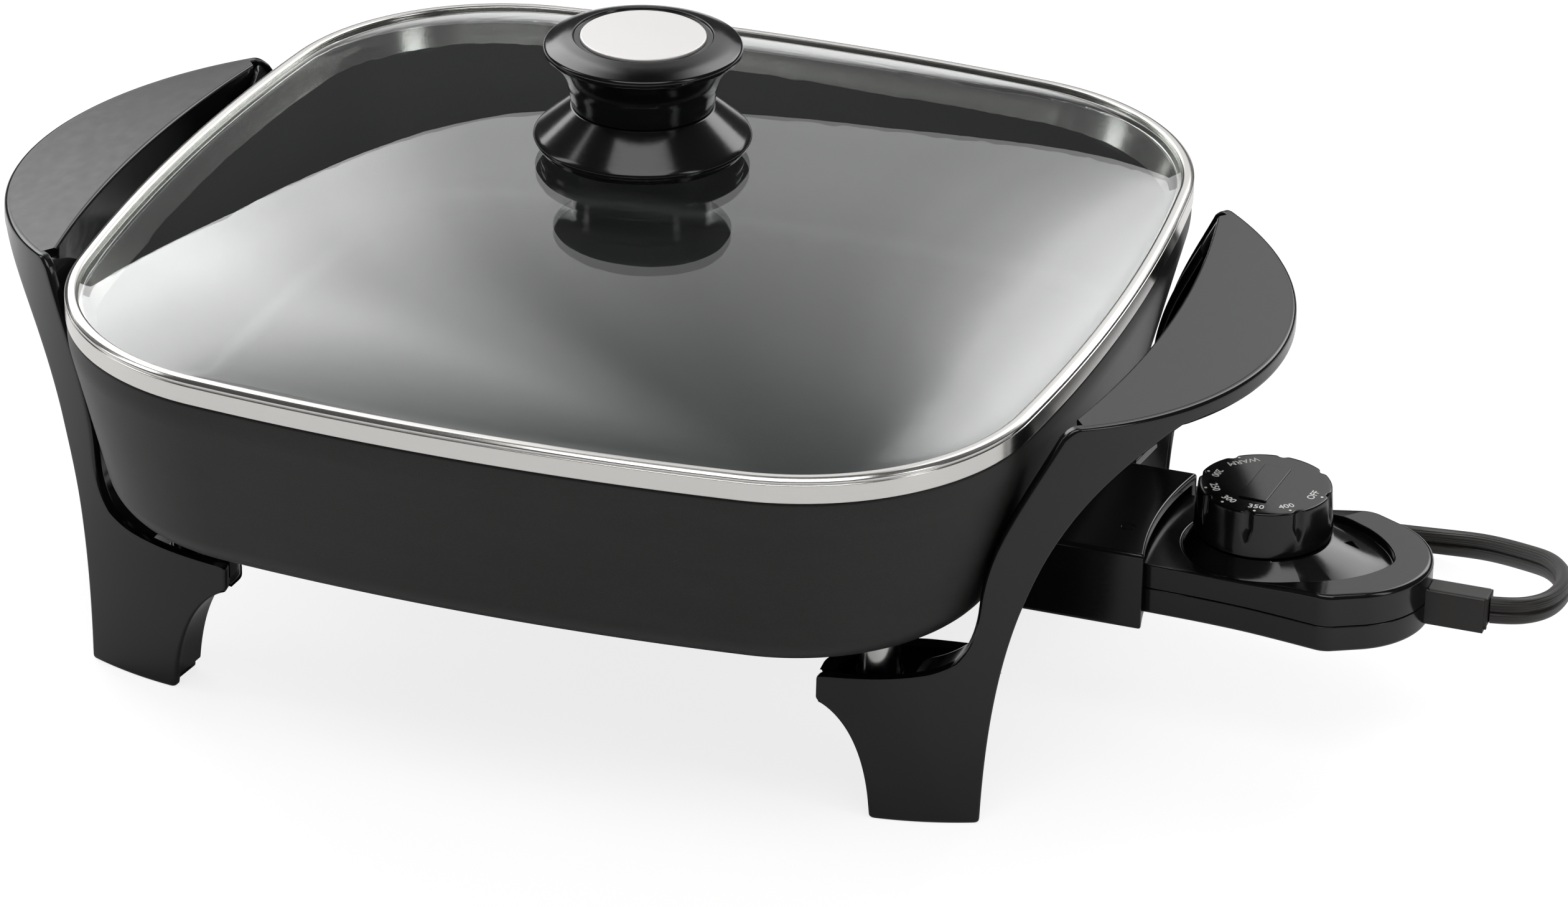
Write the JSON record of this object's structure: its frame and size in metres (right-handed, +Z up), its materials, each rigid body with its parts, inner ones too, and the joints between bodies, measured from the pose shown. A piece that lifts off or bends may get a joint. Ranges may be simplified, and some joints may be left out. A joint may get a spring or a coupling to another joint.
{
  "type": "electric skillet",
  "caption": "Square electric skillet on black legs with side grips, a domed glass lid with a knob, and a plug-in dial heat control with a flat cord.",
  "frame": {"origin": "on the counter, under the middle of the skillet's box without its cord", "axes": "+X towards the heat control, +Y towards the back, +Z up"},
  "size_m": [0.4607, 0.4014, 0.1792],
  "materials": {
    "cast_aluminium": "satin dark non-stick coating on die-cast aluminium",
    "bright_steel": "polished",
    "plated_steel": "zinc plated",
    "phenolic": "glossy black phenolic",
    "element_sheath": "heat-darkened sheath",
    "ceramic": "glazed",
    "lid_glass": "clear tempered",
    "stainless": "bright, fine brushed",
    "silicone": "matte",
    "badge": "satin anodised disc",
    "terminal_board": "laminate board",
    "contact_copper": "copper alloy",
    "brass": "bright",
    "wire_sleeve": "glass-fibre sleeve",
    "cord_rubber": "matte dark grey-brown",
    "tie": "black tie"
  },
  "bodies": {
    "base": {"vessel": "cast_aluminium", "vessel_posts": "bright_steel", "left_handle_frame": "phenolic", "right_handle_frame": "phenolic", "handle_nuts": "plated_steel", "heating_element": "element_sheath", "terminal_pins": "bright_steel", "terminal_blocks": "ceramic", "probe_guard": "phenolic", "guard_screws": "plated_steel"},
    "lid": {"lid_glass": "lid_glass", "lid_band": "stainless", "knob_gasket": "silicone", "knob_flange": "phenolic", "knob_grip": "phenolic", "knob_badge": "badge", "knob_washer": "plated_steel", "knob_screw": "plated_steel"},
    "heat_control": {"control_upper_case": "phenolic", "control_lower_case": "phenolic", "case_screws": "plated_steel", "probe_tube": "bright_steel", "terminal_plate": "terminal_board", "contact_sleeves": "contact_copper", "thermostat_bracket": "plated_steel", "contact_leaves": "contact_copper", "shaft_bushing": "brass", "lead_wires": "wire_sleeve", "strain_relief": "cord_rubber", "power_cord": "cord_rubber", "cord_coil": "cord_rubber", "cord_tie": "tie", "plug_body": "cord_rubber", "plug_blades": "brass"},
    "dial": {"dial_knob": "phenolic", "dial_shaft": "bright_steel"}
  },
  "joints": [
    {"name": "lid_lift", "type": "slide", "parent": "base", "child": "lid", "axis": [0, 0, 1], "range_m": [0, 0.12]},
    {"name": "control_unplug", "type": "slide", "parent": "base", "child": "heat_control", "axis": [1, 0, 0], "range_m": [0, 0.1]},
    {"name": "dial_turn", "type": "hinge", "parent": "heat_control", "child": "dial", "pos_m": [0.1642, 0, 0.06], "axis": [0, 0, -1], "range_deg": [0, 309]}
  ]
}
